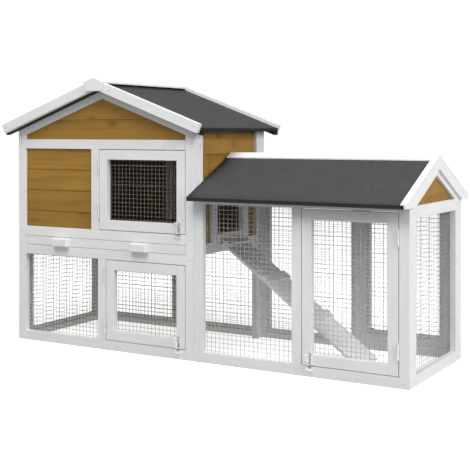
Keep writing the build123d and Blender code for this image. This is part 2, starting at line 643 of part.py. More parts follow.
def barrel_bolt(name):
    """Bolt plate with two guides on the door, the sliding rod, and the keeper on the frame."""
    u, bottom, wall = BOLTS[name]
    out = -1 if wall == "front" else 1
    face = 0.0 if wall == "front" else DEPTH
    axis_v = face + out * BOLT_OUT
    sheet = sorted((face, face + out * PLATE_SHEET))
    bore = rod(u, axis_v, bottom - 2 * BOLT_LEN, BOLT_R + BOLT_FIT, 4 * BOLT_LEN, (0, 0, 1))
    width, low, high = BOLT_PLATE
    plate = block(u - width / 2, u + width / 2, *sheet, bottom + low, bottom + high)
    for rise in BOLT_GUIDES:
        plate = plate + loop(u, face, out, bottom + rise, bottom + rise + GUIDE_H)
    save(f"{name}_plate", [plate - bore])
    start = bottom + BOLT_START
    rod_solid = rod(u, axis_v, start, BOLT_R, BOLT_LEN, (0, 0, 1))
    knob = rod(u, axis_v + out, start + KNOB_PLACE, KNOB_R, KNOB_REACH, (0, out, 0))
    save(f"{name}_rod", [rod_solid + knob])
    width, low, high = BOLT_KEEPER
    keeper = block(u - width / 2, u + width / 2, *sheet, bottom + low, bottom + high)
    bridge_z = (bottom + KEEPER_BRIDGE, bottom + KEEPER_BRIDGE + GUIDE_H)
    room = BOLT_R + KEEPER_FIT
    outside = sorted((face, axis_v + out * GUIDE_R))
    inside = sorted((face + out * PLATE_SHEET, axis_v + out * room))
    bridge = block(u - GUIDE_R, u + GUIDE_R, *outside, *bridge_z)
    return keeper + (bridge - block(u - room, u + room, *inside, *bridge_z))


def tray():
    u0, u1 = STOCK_W + 1.0, HOUSE_W - STOCK_W - 1.0
    z0, z1 = TRAY_BOTTOM + 1.0, UPPER_RAIL - 1.0
    save("tray_front", [block(u0, u1, 0, STOCK_T, z0, z1)])
    b0, b1 = u0 + 3.0, u1 - 3.0
    v0, v1 = STOCK_T, STOCK_T + TRAY_DEPTH
    floor_top = z0 + TRAY_FLOOR
    box = [block(b0, b1, v0, v1, z0, floor_top),
           block(b0, b0 + TRAY_WALL, v0, v1, floor_top, z1),
           block(b1 - TRAY_WALL, b1, v0, v1, floor_top, z1),
           block(b0 + TRAY_WALL, b1 - TRAY_WALL, v0, v0 + TRAY_WALL, floor_top, z1),
           block(b0 + TRAY_WALL, b1 - TRAY_WALL, v1 - TRAY_WALL, v1, floor_top, z1)]
    save("tray_box", box)
    middle = (u0 + u1) / 2 - 5.0
    handles = []
    for shift in (-HANDLE_SPREAD / 2, HANDLE_SPREAD / 2):
        h0 = middle + shift - HANDLE_W / 2
        h1 = h0 + HANDLE_W
        top = z1 - 3.0
        handle = block(h0, h1, -HANDLE_OUT, 0, top - HANDLE_H, top)
        edges = handle.edges().filter_by(Axis.X).group_by(Axis.Y)[0]
        handles.append(fillet(edges, 3.0))
    save("tray_handles", handles)
    runner_v = (STOCK_T + SLIP + MESH_T, DEPTH - STOCK_T - SLIP - MESH_T)
    runner_z = (TRAY_BOTTOM - RUNNER_H, TRAY_BOTTOM - SLIP)
    runners = [block(STOCK_T + 2.0, STOCK_T + RUNNER_W, *runner_v, *runner_z),
               block(HOUSE_W - STOCK_T - RUNNER_W, HOUSE_W - STOCK_T, *runner_v, *runner_z)]
    save("tray_runners", runners)


def screws():
    """Screw heads on the faces of the frames and bargeboards."""
    heads = []
    rails = (15.0, 297.0, 357.0, 640.0)
    for u in (15.0, HOUSE_W - 15.0):
        for z in rails:
            heads.append(rod(u, 0, z, HEAD_R, HEAD_H, (0, -1, 0)))
            heads.append(rod(u, DEPTH, z, HEAD_R, HEAD_H, (0, 1, 0)))
    for u in (HOUSE_W + 15.0, RUN_MULLION + 15.0, RIGHT - 15.0):
        for z in (15.0, RUN_TOP_RAIL + 9.0):
            heads.append(rod(u, 0, z, HEAD_R, HEAD_H, (0, -1, 0)))
            heads.append(rod(u, DEPTH, z, HEAD_R, HEAD_H, (0, 1, 0)))
    stiles = (STOCK_T + SIDE_STILE / 2, DEPTH - STOCK_T - SIDE_STILE / 2)
    for v in stiles:
        heads += [rod(0, v, z, HEAD_R, HEAD_H, (-1, 0, 0)) for z in (15.0, 327.0, 640.0)]
        heads += [rod(HOUSE_W, v, z, HEAD_R, HEAD_H, (1, 0, 0)) for z in (640.0,)]
        heads += [rod(RIGHT, v, z, HEAD_R, HEAD_H, (1, 0, 0)) for z in (15.0, END_RAIL + 16.0)]
    face = -HOUSE_OVER - BARGE_T
    rear = DEPTH + HOUSE_OVER_BACK + BARGE_T
    for s in (-1, 1):
        for reach in (56.0, 364.0):
            u = HOUSE_W / 2 + s * reach
            z = house_line(u, 3.0)
            heads.append(rod(u, face, z, HEAD_R, HEAD_H, (0, -1, 0)))
            heads.append(rod(u, rear, z, HEAD_R, HEAD_H, (0, 1, 0)))
        for reach in (55.0, 215.0):
            v = DEPTH / 2 + s * reach
            heads.append(rod(RIGHT + RUN_OVER, v, run_line(v, 10.0), HEAD_R, HEAD_H, (1, 0, 0)))
    save("frame_screws", heads)


def main():
    house_front()
    house_back()
    house_left()
    house_right()
    house_roof()
    run_walls()
    run_end()
    run_roof()
    fixed, pins = [], []
    for name in DOORS:
        door_leaf(name)
        door_fixed, door_pins = door_hinges(name)
        fixed += door_fixed
        pins += door_pins
    ramp()
    ramp_fixed, ramp_pins = ramp_hinges()
    save("hinge_fixed_leaves", fixed + ramp_fixed)
    save("hinge_pins", pins + ramp_pins)
    save("bolt_keepers", [barrel_bolt(name) for name in BOLTS])
    tray()
    screws()


main()
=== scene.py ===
"""Rabbit hutch: white-painted battens, stained siding, felted roofs and welded wire mesh.

The timber is made again from the frame's solids, with eased edges and grain that runs along
each batten. The wire, its staples, the felt and the screw heads are made here. The hinges,
pins, keepers and bolts keep the frame's own shapes and only get their finish.
"""
import logging
import math
import random
from dataclasses import dataclass
from enum import Enum
from typing import Dict, List, Optional, Sequence, Tuple

import bmesh
import bpy
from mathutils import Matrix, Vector


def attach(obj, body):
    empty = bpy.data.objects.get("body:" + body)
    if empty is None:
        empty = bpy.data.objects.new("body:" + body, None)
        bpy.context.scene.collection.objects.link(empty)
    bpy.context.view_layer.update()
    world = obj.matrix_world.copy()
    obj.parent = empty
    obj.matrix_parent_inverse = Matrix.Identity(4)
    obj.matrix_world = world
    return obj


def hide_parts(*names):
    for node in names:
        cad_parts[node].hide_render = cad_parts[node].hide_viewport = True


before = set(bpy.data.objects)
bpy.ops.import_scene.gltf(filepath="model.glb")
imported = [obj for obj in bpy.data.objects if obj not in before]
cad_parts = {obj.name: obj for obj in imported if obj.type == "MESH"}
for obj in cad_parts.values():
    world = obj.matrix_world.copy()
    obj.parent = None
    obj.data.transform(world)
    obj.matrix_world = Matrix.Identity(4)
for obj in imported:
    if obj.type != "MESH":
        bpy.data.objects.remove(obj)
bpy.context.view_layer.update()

LOG = logging.getLogger("hutch")
MM = 0.001
UP = Vector((0.0, 0.0, 1.0))
SHARP = math.radians(20.0)     # an edge that turns more than this is eased
FLAT = math.radians(1.0)       # faces that turn less than this are one flat face
INWARD = -0.9                  # a face looks inside when its normal's outward share is below this
LEVEL_SHARE = 0.5              # a wire is level when its rise is less than this share of its length
LOT_SHIFT = 17.0               # how far the pattern moves from one batten to the next
GRAIN_SENSE = Vector((1.0, 0.7, 0.4))    # the grain always runs this way along a batten
Colour = Tuple[float, float, float]
Grain = Tuple[float, float]    # how often a pattern repeats in a metre, along and across
Stops = Sequence[Tuple[float, Colour]]


class Wall(Enum):
    """The way that the outside of a wall looks."""

    FRONT = (0.0, -1.0, 0.0)
    BACK = (0.0, 1.0, 0.0)
    LEFT = (-1.0, 0.0, 0.0)
    RIGHT = (1.0, 0.0, 0.0)

    @property
    def outward(self) -> Vector:
        """Unit vector out of the wall."""
        return Vector(self.value)

    @property
    def word(self) -> str:
        """The wall's word in the nodes' names."""
        return self.name.lower()


# ---------------------------------------------------------------- finishes


class Graph:
    """A material's node tree, with short calls for the nodes that the finishes use."""

    def __init__(self, name: str) -> None:
        """Start an empty material.

        Args:
            name: the material's name.
        """
        self.material = bpy.data.materials.new(name)
        self.material.use_nodes = True
        self.tree = self.material.node_tree
        self.shader = self.tree.nodes["Principled BSDF"]

    def node(self, kind: str, **settings: object) -> bpy.types.Node:
        """Add a node and set its properties.

        Args:
            kind: the node's type without the ShaderNode prefix.
            settings: properties of the node.

        Returns:
            The new node.
        """
        made = self.tree.nodes.new("ShaderNode" + kind)
        for key, value in settings.items():
            setattr(made, key, value)
        return made

    def feed(self, socket: bpy.types.NodeSocket, value: object) -> None:
        """Link an output to a socket, or set a plain value on it."""
        if isinstance(value, bpy.types.NodeSocket):
            self.tree.links.new(value, socket)
        else:
            socket.default_value = value

    def attribute(self, name: str, scalar: bool = False) -> bpy.types.NodeSocket:
        """A named mesh attribute, as a vector or as a number."""
        made = self.node("Attribute", attribute_name=name)
        return made.outputs["Fac" if scalar else "Vector"]

    def place(self) -> bpy.types.NodeSocket:
        """The point in the object's own frame, in metres."""
        return self.node("TexCoord").outputs["Object"]

    def math(self, kind: str, first: object, second: object = 0.0) -> bpy.types.NodeSocket:
        """One sum on numbers."""
        made = self.node("Math", operation=kind)
        self.feed(made.inputs[0], first)
        self.feed(made.inputs[1], second)
        return made.outputs[0]

    def vector(self, kind: str, first: object, second: object) -> bpy.types.NodeSocket:
        """One sum on vectors."""
        made = self.node("VectorMath", operation=kind)
        self.feed(made.inputs[0], first)
        self.feed(made.inputs[1], second)
        return made.outputs[0]

    def noise(self, at: object, scale: float, detail: float = 3.0) -> bpy.types.NodeSocket:
        """Soft noise from 0 to 1."""
        made = self.node("TexNoise")
        self.feed(made.inputs["Vector"], at)
        made.inputs["Scale"].default_value = scale
        made.inputs["Detail"].default_value = detail
        return made.outputs["Fac"]

    def span(
        self, value: object, low: float, high: float, to_low: float, to_high: float
    ) -> bpy.types.NodeSocket:
        """A clamped change of range."""
        made = self.node("MapRange")
        for index, number in enumerate((value, low, high, to_low, to_high)):
            self.feed(made.inputs[index], number)
        return made.outputs[0]

    def ramp(self, value: object, stops: Stops) -> bpy.types.NodeSocket:
        """Colours along a value.

        Args:
            value: the number that picks the colour.
            stops: place and colour of each stop.

        Returns:
            The colour output.
        """
        made = self.node("ValToRGB")
        self.feed(made.inputs[0], value)
        band = made.color_ramp
        for index, (where, colour) in enumerate(stops):
            stop = band.elements[index] if index < 2 else band.elements.new(where)
            stop.position = where
            stop.color = (*colour, 1.0)
        return made.outputs[0]

    def mix(self, share: object, first: object, second: object, blend: str = "MIX") -> bpy.types.NodeSocket:
        """Blend two colours."""
        made = self.node("Mix", data_type="RGBA", blend_type=blend)
        self.feed(made.inputs[0], share)
        for socket, value in ((made.inputs[6], first), (made.inputs[7], second)):
            self.feed(socket, (*value, 1.0) if isinstance(value, tuple) and len(value) == 3 else value)
        return made.outputs[2]

    def grey(self, value: object) -> bpy.types.NodeSocket:
        """A number as a grey colour."""
        made = self.node("CombineColor")
        for index in range(3):
            self.feed(made.inputs[index], value)
        return made.outputs[0]

    def bump(self, height: object, strength: float, distance: float) -> None:
        """Raise the surface by a height pattern, in metres."""
        made = self.node("Bump")
        made.inputs["Strength"].default_value = strength
        made.inputs["Distance"].default_value = distance
        self.feed(made.inputs["Height"], height)
        self.feed(self.shader.inputs["Normal"], made.outputs[0])

    def grain_point(self, grain: Grain) -> bpy.types.NodeSocket:
        """The place in a batten, squeezed along the grain and shifted from batten to batten."""
        along, across = grain
        squeezed = self.vector("MULTIPLY", self.attribute("grain"), (along, across, across))
        shift = self.math("MULTIPLY", self.attribute("lot", True), LOT_SHIFT)
        joined = self.node("CombineXYZ")
        for index in range(3):
            self.feed(joined.inputs[index], shift)
        return self.vector("ADD", squeezed, joined.outputs[0])


@dataclass(frozen=True)
class Paint:
    """Satin paint over planed fir, with the grain showing faintly through."""

    name: str
    colour: Colour
    shade: Colour
    roughness: float = 0.52
    relief: float = 0.35
    depth: float = 0.4 * MM
    fibre: Grain = (14.0, 420.0)
    cloud: Grain = (9.0, 30.0)

    def material(self) -> bpy.types.Material:
        """Build the paint.

        Returns:
            The material.
        """
        graph = Graph(self.name)
        fibre = graph.noise(graph.grain_point(self.fibre), 1.0, 4.0)
        cloud = graph.noise(graph.grain_point(self.cloud), 1.0, 2.0)
        body = graph.ramp(cloud, ((0.3, self.shade), (0.65, self.colour)))
        streaks = graph.span(fibre, 0.25, 0.5, 0.955, 1.0)
        body = graph.mix(1.0, body, graph.grey(streaks), "MULTIPLY")
        lot = graph.span(graph.attribute("lot", True), 0.0, 1.0, 0.965, 1.0)
        graph.feed(graph.shader.inputs["Base Color"], graph.mix(1.0, body, graph.grey(lot), "MULTIPLY"))
        dullness = graph.span(cloud, 0.2, 0.8, self.roughness, self.roughness + 0.12)
        graph.feed(graph.shader.inputs["Roughness"], dullness)
        graph.bump(fibre, self.relief, self.depth)
        return graph.material


@dataclass(frozen=True)
class StainedFir:
    """Golden-brown stain on fir boards: growth rings and knots, with darker ends and dark seams that are
    painted shade.
    """

    name: str
    light: Colour
    middle: Colour
    dark: Colour
    knot: Colour
    warp: Grain = (4.0, 22.0)
    rings: Grain = (3.0, 95.0)
    knots: Grain = (6.5, 15.0)
    fibre: Grain = (18.0, 620.0)
    relief: float = 0.35
    depth: float = 0.3 * MM
    end_reach: float = 11.0 * MM
    seam_reach: float = 3.0 * MM

    def material(self) -> bpy.types.Material:
        """Build the stain.

        Returns:
            The material.
        """
        graph = Graph(self.name)
        warp = graph.noise(graph.grain_point(self.warp), 1.0, 2.0)
        rings = graph.noise(graph.grain_point(self.rings), 1.0, 3.0)
        figure = graph.math("ADD", graph.math("MULTIPLY", rings, 0.45), graph.math("MULTIPLY", warp, 0.55))
        body = graph.ramp(figure, ((0.3, self.dark), (0.48, self.middle), (0.68, self.light)))
        cells = graph.node("TexVoronoi", feature="F1", distance="EUCLIDEAN")
        graph.feed(cells.inputs["Vector"], graph.grain_point(self.knots))
        cells.inputs["Scale"].default_value = 1.0
        cells.inputs["Randomness"].default_value = 0.9
        from_knot = cells.outputs["Distance"]
        body = graph.mix(graph.span(from_knot, 0.05, 0.17, 0.6, 0.0), body, self.knot)
        body = graph.mix(graph.span(from_knot, 0.05, 0.3, 0.35, 0.0), body, self.dark)
        reach = graph.node("SeparateXYZ")
        graph.feed(reach.inputs[0], graph.attribute("grain"))
        from_middle = graph.math("ABSOLUTE", reach.outputs[0])
        # painted shade: the boards darken towards their ends, where they meet the frame
        end = graph.math("SUBTRACT", graph.attribute("half", True), from_middle)
        body = graph.mix(graph.span(end, 1.0 * MM, self.end_reach, 0.45, 0.0), body, self.dark)
        # painted shade: the boards darken along their long edges, in the seams between them
        from_centre = graph.math("ABSOLUTE", reach.outputs[1])
        edge = graph.math("SUBTRACT", graph.attribute("rim", True), from_centre)
        body = graph.mix(graph.span(edge, 0.8 * MM, self.seam_reach, 0.4, 0.0), body, self.knot)
        lot = graph.span(graph.attribute("lot", True), 0.0, 1.0, 0.88, 1.05)
        graph.feed(graph.shader.inputs["Base Color"], graph.mix(1.0, body, graph.grey(lot), "MULTIPLY"))
        fibre = graph.noise(graph.grain_point(self.fibre), 1.0, 3.0)
        graph.feed(graph.shader.inputs["Roughness"], graph.span(fibre, 0.2, 0.8, 0.5, 0.66))
        graph.shader.inputs["Specular IOR Level"].default_value = 0.18
        graph.bump(fibre, self.relief, self.depth)
        return graph.material


@dataclass(frozen=True)
class Felt:
    """Granules in two colours, as on roofing felt; darker copies of it paint shade on the felt's edges and
    the roof boards, and a shadow along the house's ridge.
    """

    name: str
    pale: Colour
    deep: Colour
    grit: float = 620.0
    speck_share: float = 0.42
    patches: float = 14.0
    depth: float = 0.9 * MM

    def material(self) -> bpy.types.Material:
        """Build the felt.

        Returns:
            The material.
        """
        graph = Graph(self.name)
        here = graph.place()
        grit = graph.noise(here, self.grit, 2.0)
        speck = graph.noise(here, self.grit * self.speck_share, 2.0)
        patch = graph.noise(here, self.patches, 3.0)
        mixed = graph.math("ADD", graph.math("MULTIPLY", grit, 0.5), graph.math("MULTIPLY", speck, 0.5))
        body = graph.ramp(mixed, ((0.34, self.deep), (0.64, self.pale)))
        body = graph.mix(graph.span(patch, 0.3, 0.7, 0.0, 0.22), body, self.deep)
        graph.feed(graph.shader.inputs["Base Color"], body)
        graph.feed(graph.shader.inputs["Roughness"], graph.span(speck, 0.3, 0.7, 0.82, 0.98))
        graph.shader.inputs["Specular IOR Level"].default_value = 0.25
        graph.bump(mixed, 0.8, self.depth)
        return graph.material


@dataclass(frozen=True)
class Plated:
    """Zinc on steel: a cloudy bloom and a fine roughness."""

    name: str
    bright: Colour
    dull: Colour
    roughness: float = 0.38
    scale: float = 260.0
    metal: float = 1.0
    depth: float = 0.1 * MM

    def material(self) -> bpy.types.Material:
        """Build the plating.

        Returns:
            The material.
        """
        graph = Graph(self.name)
        here = graph.place()
        bloom = graph.noise(here, self.scale, 3.0)
        body = graph.ramp(bloom, ((0.35, self.dull), (0.62, self.bright)))
        graph.feed(graph.shader.inputs["Base Color"], body)
        dullness = graph.span(bloom, 0.3, 0.7, self.roughness + 0.16, self.roughness)
        graph.feed(graph.shader.inputs["Roughness"], dullness)
        graph.shader.inputs["Metallic"].default_value = self.metal
        graph.bump(graph.noise(here, self.scale * 3.0, 2.0), 0.25, self.depth)
        return graph.material


class Finishes:
    """Every finish of the hutch, built once."""

    def __init__(self) -> None:
        """Build the materials."""
        self.white = Paint("white_paint", (0.81, 0.81, 0.806), (0.765, 0.768, 0.772)).material()
        self.ramp = Paint("ramp_paint", (0.95, 0.95, 0.94), (0.88, 0.88, 0.87), 0.6, 0.6).material()
        # painted shade: a dark stain on the faces inside the house stands in for the shade in there
        self.lining = Paint("dark_lining", (0.18, 0.100, 0.017), (0.12, 0.066, 0.011), 0.7, 0.5).material()
        self.ply = Paint("tray_board", (0.50, 0.40, 0.27), (0.40, 0.31, 0.20), 0.6, 0.5).material()
        self.siding = StainedFir(
            "stained_siding",
            light=(0.39, 0.217, 0.040),
            middle=(0.33, 0.178, 0.033),
            dark=(0.235, 0.120, 0.022),
            knot=(0.10, 0.045, 0.008),
        ).material()
        self.felt = Felt("roof_felt", (0.079, 0.079, 0.080), (0.030, 0.030, 0.031)).material()
        # painted shade: a darker copy of the felt for its edges, undersides and the run's roof boards, and
        # painted shadow along the house's ridge
        self.bitumen = Felt("bitumen_edge", (0.035, 0.035, 0.036), (0.014, 0.014, 0.015), 300.0).material()
        # painted shade: a near-black copy of the felt for the house's roof boards, whose underside lies in
        # shade
        self.verge = Felt("verge_board", (0.012, 0.012, 0.012), (0.005, 0.005, 0.005), 300.0).material()
        self.wire = Plated(
            "galvanised_wire", (0.50, 0.475, 0.455), (0.38, 0.36, 0.345), 0.5, 180.0, 0.25
        ).material()
        # painted shade: a darker copy of the wire for the house and its doors, which lie in shade
        self.dull_wire = Plated(
            "dull_wire", (0.24, 0.215, 0.19), (0.155, 0.14, 0.125), 0.5, 180.0, 0.25
        ).material()
        self.zinc = Plated("zinc_hardware", (0.62, 0.62, 0.63), (0.40, 0.40, 0.42)).material()
        self.steel = Plated(
            "screw_steel", (0.66, 0.66, 0.66), (0.48, 0.48, 0.49), 0.42, 400.0, 0.6
        ).material()


# ---------------------------------------------------------------- mesh helpers


def publish(
    mesh: bmesh.types.BMesh, name: str, body: str, material: bpy.types.Material
) -> bpy.types.Object:
    """Turn a bmesh into a piece of the hutch.

    Args:
        mesh: the finished shape, in metres in the row frame; it is freed.
        name: the piece's name.
        body: the body it moves with.
        material: its finish.

    Returns:
        The new object.
    """
    bmesh.ops.recalc_face_normals(mesh, faces=mesh.faces[:])
    data = bpy.data.meshes.new(name)
    mesh.to_mesh(data)
    mesh.free()
    data.materials.append(material)
    piece = bpy.data.objects.new(name, data)
    bpy.context.scene.collection.objects.link(piece)
    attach(piece, body)
    LOG.info("%s: %d faces", name, len(data.polygons))
    return piece


def solids_of(node: str) -> List[bmesh.types.BMesh]:
    """Split a CAD node's mesh into its closed solids.

    The faces of one solid lie together in the mesh, so a solid ends where every edge has met its pair.

    Args:
        node: the CAD node.

    Returns:
        One welded bmesh for each solid, with its flat faces whole again.
    """
    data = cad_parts[node].data
    open_edges: Dict[Tuple, int] = {}
    shells: List[List[List[Tuple]]] = [[]]
    for polygon in data.polygons:
        corners = [tuple(round(c, 6) for c in data.vertices[i].co) for i in polygon.vertices]
        shells[-1].append(corners)
        for a, b in zip(corners, corners[1:] + corners[:1]):
            edge = (min(a, b), max(a, b))
            open_edges[edge] = open_edges.get(edge, 0) + 1
            if open_edges[edge] == 2:
                del open_edges[edge]
        if not open_edges:
            shells.append([])
    made = []
    for shell in shells:
        if not shell:
            continue
        mesh = bmesh.new()
        places: Dict[Tuple, bmesh.types.BMVert] = {}
        for corners in shell:
            verts = []
            for corner in corners:
                if corner not in places:
                    places[corner] = mesh.verts.new(corner)
                verts.append(places[corner])
            if len(set(verts)) == len(verts):
                mesh.faces.new(verts)
        bmesh.ops.recalc_face_normals(mesh, faces=mesh.faces[:])
        bmesh.ops.dissolve_limit(
            mesh, angle_limit=FLAT, use_dissolve_boundaries=False,
            verts=mesh.verts[:], edges=mesh.edges[:],
        )
        made.append(mesh)
    return made


def add_grain(mesh: bmesh.types.BMesh, lot: float) -> None:
    """Write each vertex's place in its batten: along the grain, across it and through it.

    Args:
        mesh: one batten, before its edges are eased.
        lot: a number from 0 to 1 that sets this batten apart.
    """
    longest = max(mesh.edges, key=lambda edge: round(edge.calc_length(), 5))
    along = (longest.verts[1].co - longest.verts[0].co).normalized()
    if along.dot(GRAIN_SENSE) < 0:
        along.negate()
    broad = max(mesh.faces, key=lambda face: round(face.calc_area(), 7)).normal
    through = (broad - along * broad.dot(along)).normalized()
    across = through.cross(along)
    middle = sum((v.co for v in mesh.verts), Vector()) / len(mesh.verts)
    half = max(abs((v.co - middle).dot(along)) for v in mesh.verts)
    rim = max(abs((v.co - middle).dot(across)) for v in mesh.verts)
    grain = mesh.verts.layers.float_vector.new("grain")
    lots = mesh.verts.layers.float.new("lot")
    halves = mesh.verts.layers.float.new("half")
    rims = mesh.verts.layers.float.new("rim")
    for vert in mesh.verts:
        vert[lots] = lot
        vert[halves] = half
        vert[rims] = rim
    for vert in mesh.verts:
        offset = vert.co - middle
        vert[grain] = Vector((offset.dot(along), offset.dot(across), offset.dot(through)))


def ease_edges(mesh: bmesh.types.BMesh, arris: float, segments: int = 2) -> None:
    """Round the sharp edges of a solid.

    Args:
        mesh: the solid.
        arris: width of the rounding, in metres.
        segments: faces across the rounding.
    """
    sharp = [e for e in mesh.edges if len(e.link_faces) == 2 and e.calc_face_angle(0.0) > SHARP]
    bmesh.ops.bevel(
        mesh, geom=sharp, offset=arris, segments=segments, profile=0.6, affect="EDGES",
        clamp_overlap=True,
    )


def merge(parts: Sequence[bmesh.types.BMesh]) -> bmesh.types.BMesh:
    """Put several shapes in one mesh, with their layers.

    Args:
        parts: the shapes; they are freed.

    Returns:
        The joined mesh.
    """
    joined = bmesh.new()
    for part in parts:
        scratch = bpy.data.meshes.new("scratch")
        part.to_mesh(scratch)
        part.free()
        joined.from_mesh(scratch)
        bpy.data.meshes.remove(scratch)
    return joined


def add_rod(mesh: bmesh.types.BMesh, points: Sequence[Vector], radius: float, sides: int = 6) -> None:
    """Add a closed round bar along a run of points.

    Args:
        mesh: the mesh that it goes in.
        points: the bar's centre line.
        radius: its radius.
        sides: faces round it.
    """
    run = (points[-1] - points[0]).normalized()
    aside = run.orthogonal().normalized()
    other = run.cross(aside)
    rings = []
    for point in points:
        ring = []
        for k in range(sides):
            turn = 2 * math.pi * (k + 0.5) / sides
            spoke = aside * (radius * math.cos(turn)) + other * (radius * math.sin(turn))
            ring.append(mesh.verts.new(point + spoke))
        rings.append(ring)
    for first, second in zip(rings, rings[1:]):
        for k in range(sides):
            mesh.faces.new((first[k], first[(k + 1) % sides], second[(k + 1) % sides], second[k]))
    mesh.faces.new(rings[0][::-1])
    mesh.faces.new(rings[-1])


# ---------------------------------------------------------------- timber


@dataclass
class Timber:
    """One CAD node of battens or boards, made again with eased edges and grain."""

    node: str
    body: str
    slot: str
    material: bpy.types.Material
    arris: float = 0.9 * MM
    segments: int = 2
    # painted shade: the wall whose inward faces take the dark inner finish, and the band of heights where
    # they take it
    lined_wall: Optional[Wall] = None
    lining: Optional[bpy.types.Material] = None
    lined_band: Tuple[float, float] = (-math.inf, math.inf)
    tight_above: float = math.inf
    tight_arris: float = 0.45 * MM

    def build(self) -> bpy.types.Object:
        """Make the piece that stands for the node.

        Returns:
            The piece.
        """
        lots = random.Random(self.node)
        battens = []
        for batten in solids_of(self.node):
            add_grain(batten, lots.random())
            tight = max(v.co.z for v in batten.verts) > self.tight_above
            ease_edges(batten, self.tight_arris if tight else self.arris, self.segments)
            battens.append(batten)
        piece = publish(merge(battens), self.node + ".timber", self.body, self.material)
        if self.lined_wall:
            self.line(piece)
        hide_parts(self.node)
        return piece

    def line(self, piece: bpy.types.Object) -> None:
        """Put the painted shade, a dark stain, on the faces that look into the house, within the shaded
        band of heights.
        """
        piece.data.materials.append(self.lining)
        low, high = self.lined_band
        for polygon in piece.data.polygons:
            heights = [piece.data.vertices[i].co.z for i in polygon.vertices]
            in_band = low < min(heights) and max(heights) < high
            if in_band and polygon.normal.dot(self.lined_wall.outward) < INWARD:
                polygon.material_index = 1


# ---------------------------------------------------------------- wire mesh


@dataclass
class WirePanel:
    """One panel of welded mesh: upright wires, level wires welded behind them, and staples."""

    node: str
    body: str
    wall: Wall
    finishes: Finishes
    # painted shade: when set, the panel takes the darker copy of the wire
    dull: bool = False
    across: float = 13.9 * MM
    up: float = 13.0 * MM
    radius: float = 0.64 * MM
    wander: float = 0.09 * MM
    spans: int = 6
    staple_pitch: float = 78.0 * MM
    staple_width: float = 10.0 * MM
    staple_inset: float = 5.0 * MM
    layer: float = 0.9      # each layer's middle from the sheet's, in wire radii
    staple_layer: float = 2.2

    def wire(self, mesh: bmesh.types.BMesh, start: Vector, end: Vector, draws: random.Random) -> None:
        """Add one wire, which wanders a little from a straight line."""
        run = end - start
        level = abs(run.normalized().z) < LEVEL_SHARE
        aside = UP if level else self.wall.outward.cross(UP)
        points = []
        for k in range(self.spans + 1):
            drift = 0.0 if k in (0, self.spans) else draws.uniform(-self.wander, self.wander)
            points.append(start + run * (k / self.spans) + aside * drift)
        add_rod(mesh, points, self.radius)

    def lay(self, mesh: bmesh.types.BMesh, low: Vector, high: Vector, draws: random.Random) -> None:
        """Add the wires and staples of one rectangle.

        Args:
            mesh: the mesh that they go in.
            low: the rectangle's lowest corner.
            high: its highest corner.
            draws: the panel's random numbers.
        """
        out = self.wall.outward
        sideways = Vector((1, 0, 0)) if abs(out.y) > 0.5 else Vector((0, 1, 0))
        middle = (low + high) / 2
        depth = middle - sideways * middle.dot(sideways) - UP * middle.z
        front = depth + out * self.radius * self.layer
        behind = depth - out * self.radius * self.layer
        a0, a1 = low.dot(sideways), high.dot(sideways)
        z0, z1 = low.z, high.z
        columns = round((a1 - a0) / self.across)
        rows = round((z1 - z0) / self.up)
        for k in range(columns + 1):
            base = front + sideways * (a0 + self.radius + (a1 - a0 - 2 * self.radius) * k / columns)
            self.wire(mesh, base + UP * z0, base + UP * z1, draws)
        for k in range(rows + 1):
            base = behind + UP * (z0 + self.radius + (z1 - z0 - 2 * self.radius) * k / rows)
            self.wire(mesh, base + sideways * a0, base + sideways * a1, draws)
        self.staples(mesh, low, high, out, sideways)

    def staples(
        self, mesh: bmesh.types.BMesh, low: Vector, high: Vector, out: Vector, sideways: Vector
    ) -> None:
        """Drive staples over the wires' ends, from behind the mesh into the frame.

        Args:
            mesh: the mesh that they go in.
            low: the panel's lowest corner.
            high: its highest corner.
            out: the way to the frame.
            sideways: the level direction of the panel.
        """
        a0, a1, z0, z1 = low.dot(sideways), high.dot(sideways), low.z, high.z
        depth = (low + high) / 2
        plane = out * depth.dot(out) - out * self.radius * self.staple_layer
        inset, half = self.staple_inset, self.staple_width / 2
        count = max(2, round((z1 - z0) / self.staple_pitch))
        for k in range(count):
            z = z0 + (z1 - z0) * (k + 0.5) / count
            for a in (a0 + inset, a1 - inset):
                middle = plane + sideways * a + UP * z
                add_rod(mesh, [middle - UP * half, middle + UP * half], self.radius)
        count = max(2, round((a1 - a0) / self.staple_pitch))
        for k in range(count):
            a = a0 + (a1 - a0) * (k + 0.5) / count
            for z in (z0 + inset, z1 - inset):
                middle = plane + sideways * a + UP * z
                add_rod(mesh, [middle - sideways * half, middle + sideways * half], self.radius)

    def build(self) -> bpy.types.Object:
        """Make the panel that stands for the node.

        Returns:
            The piece.
        """
        draws = random.Random(self.node)
        mesh = bmesh.new()
        for sheet in solids_of(self.node):
            corners = [v.co for v in sheet.verts]
            low = Vector([min(c[k] for c in corners) for k in range(3)])
            high = Vector([max(c[k] for c in corners) for k in range(3)])
            sheet.free()
            self.lay(mesh, low, high, draws)
        finish = self.finishes.dull_wire if self.dull else self.finishes.wire
        piece = publish(mesh, self.node + ".wires", self.body, finish)
        for polygon in piece.data.polygons:
            polygon.use_smooth = True
        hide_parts(self.node)
        return piece


# ---------------------------------------------------------------- roofs


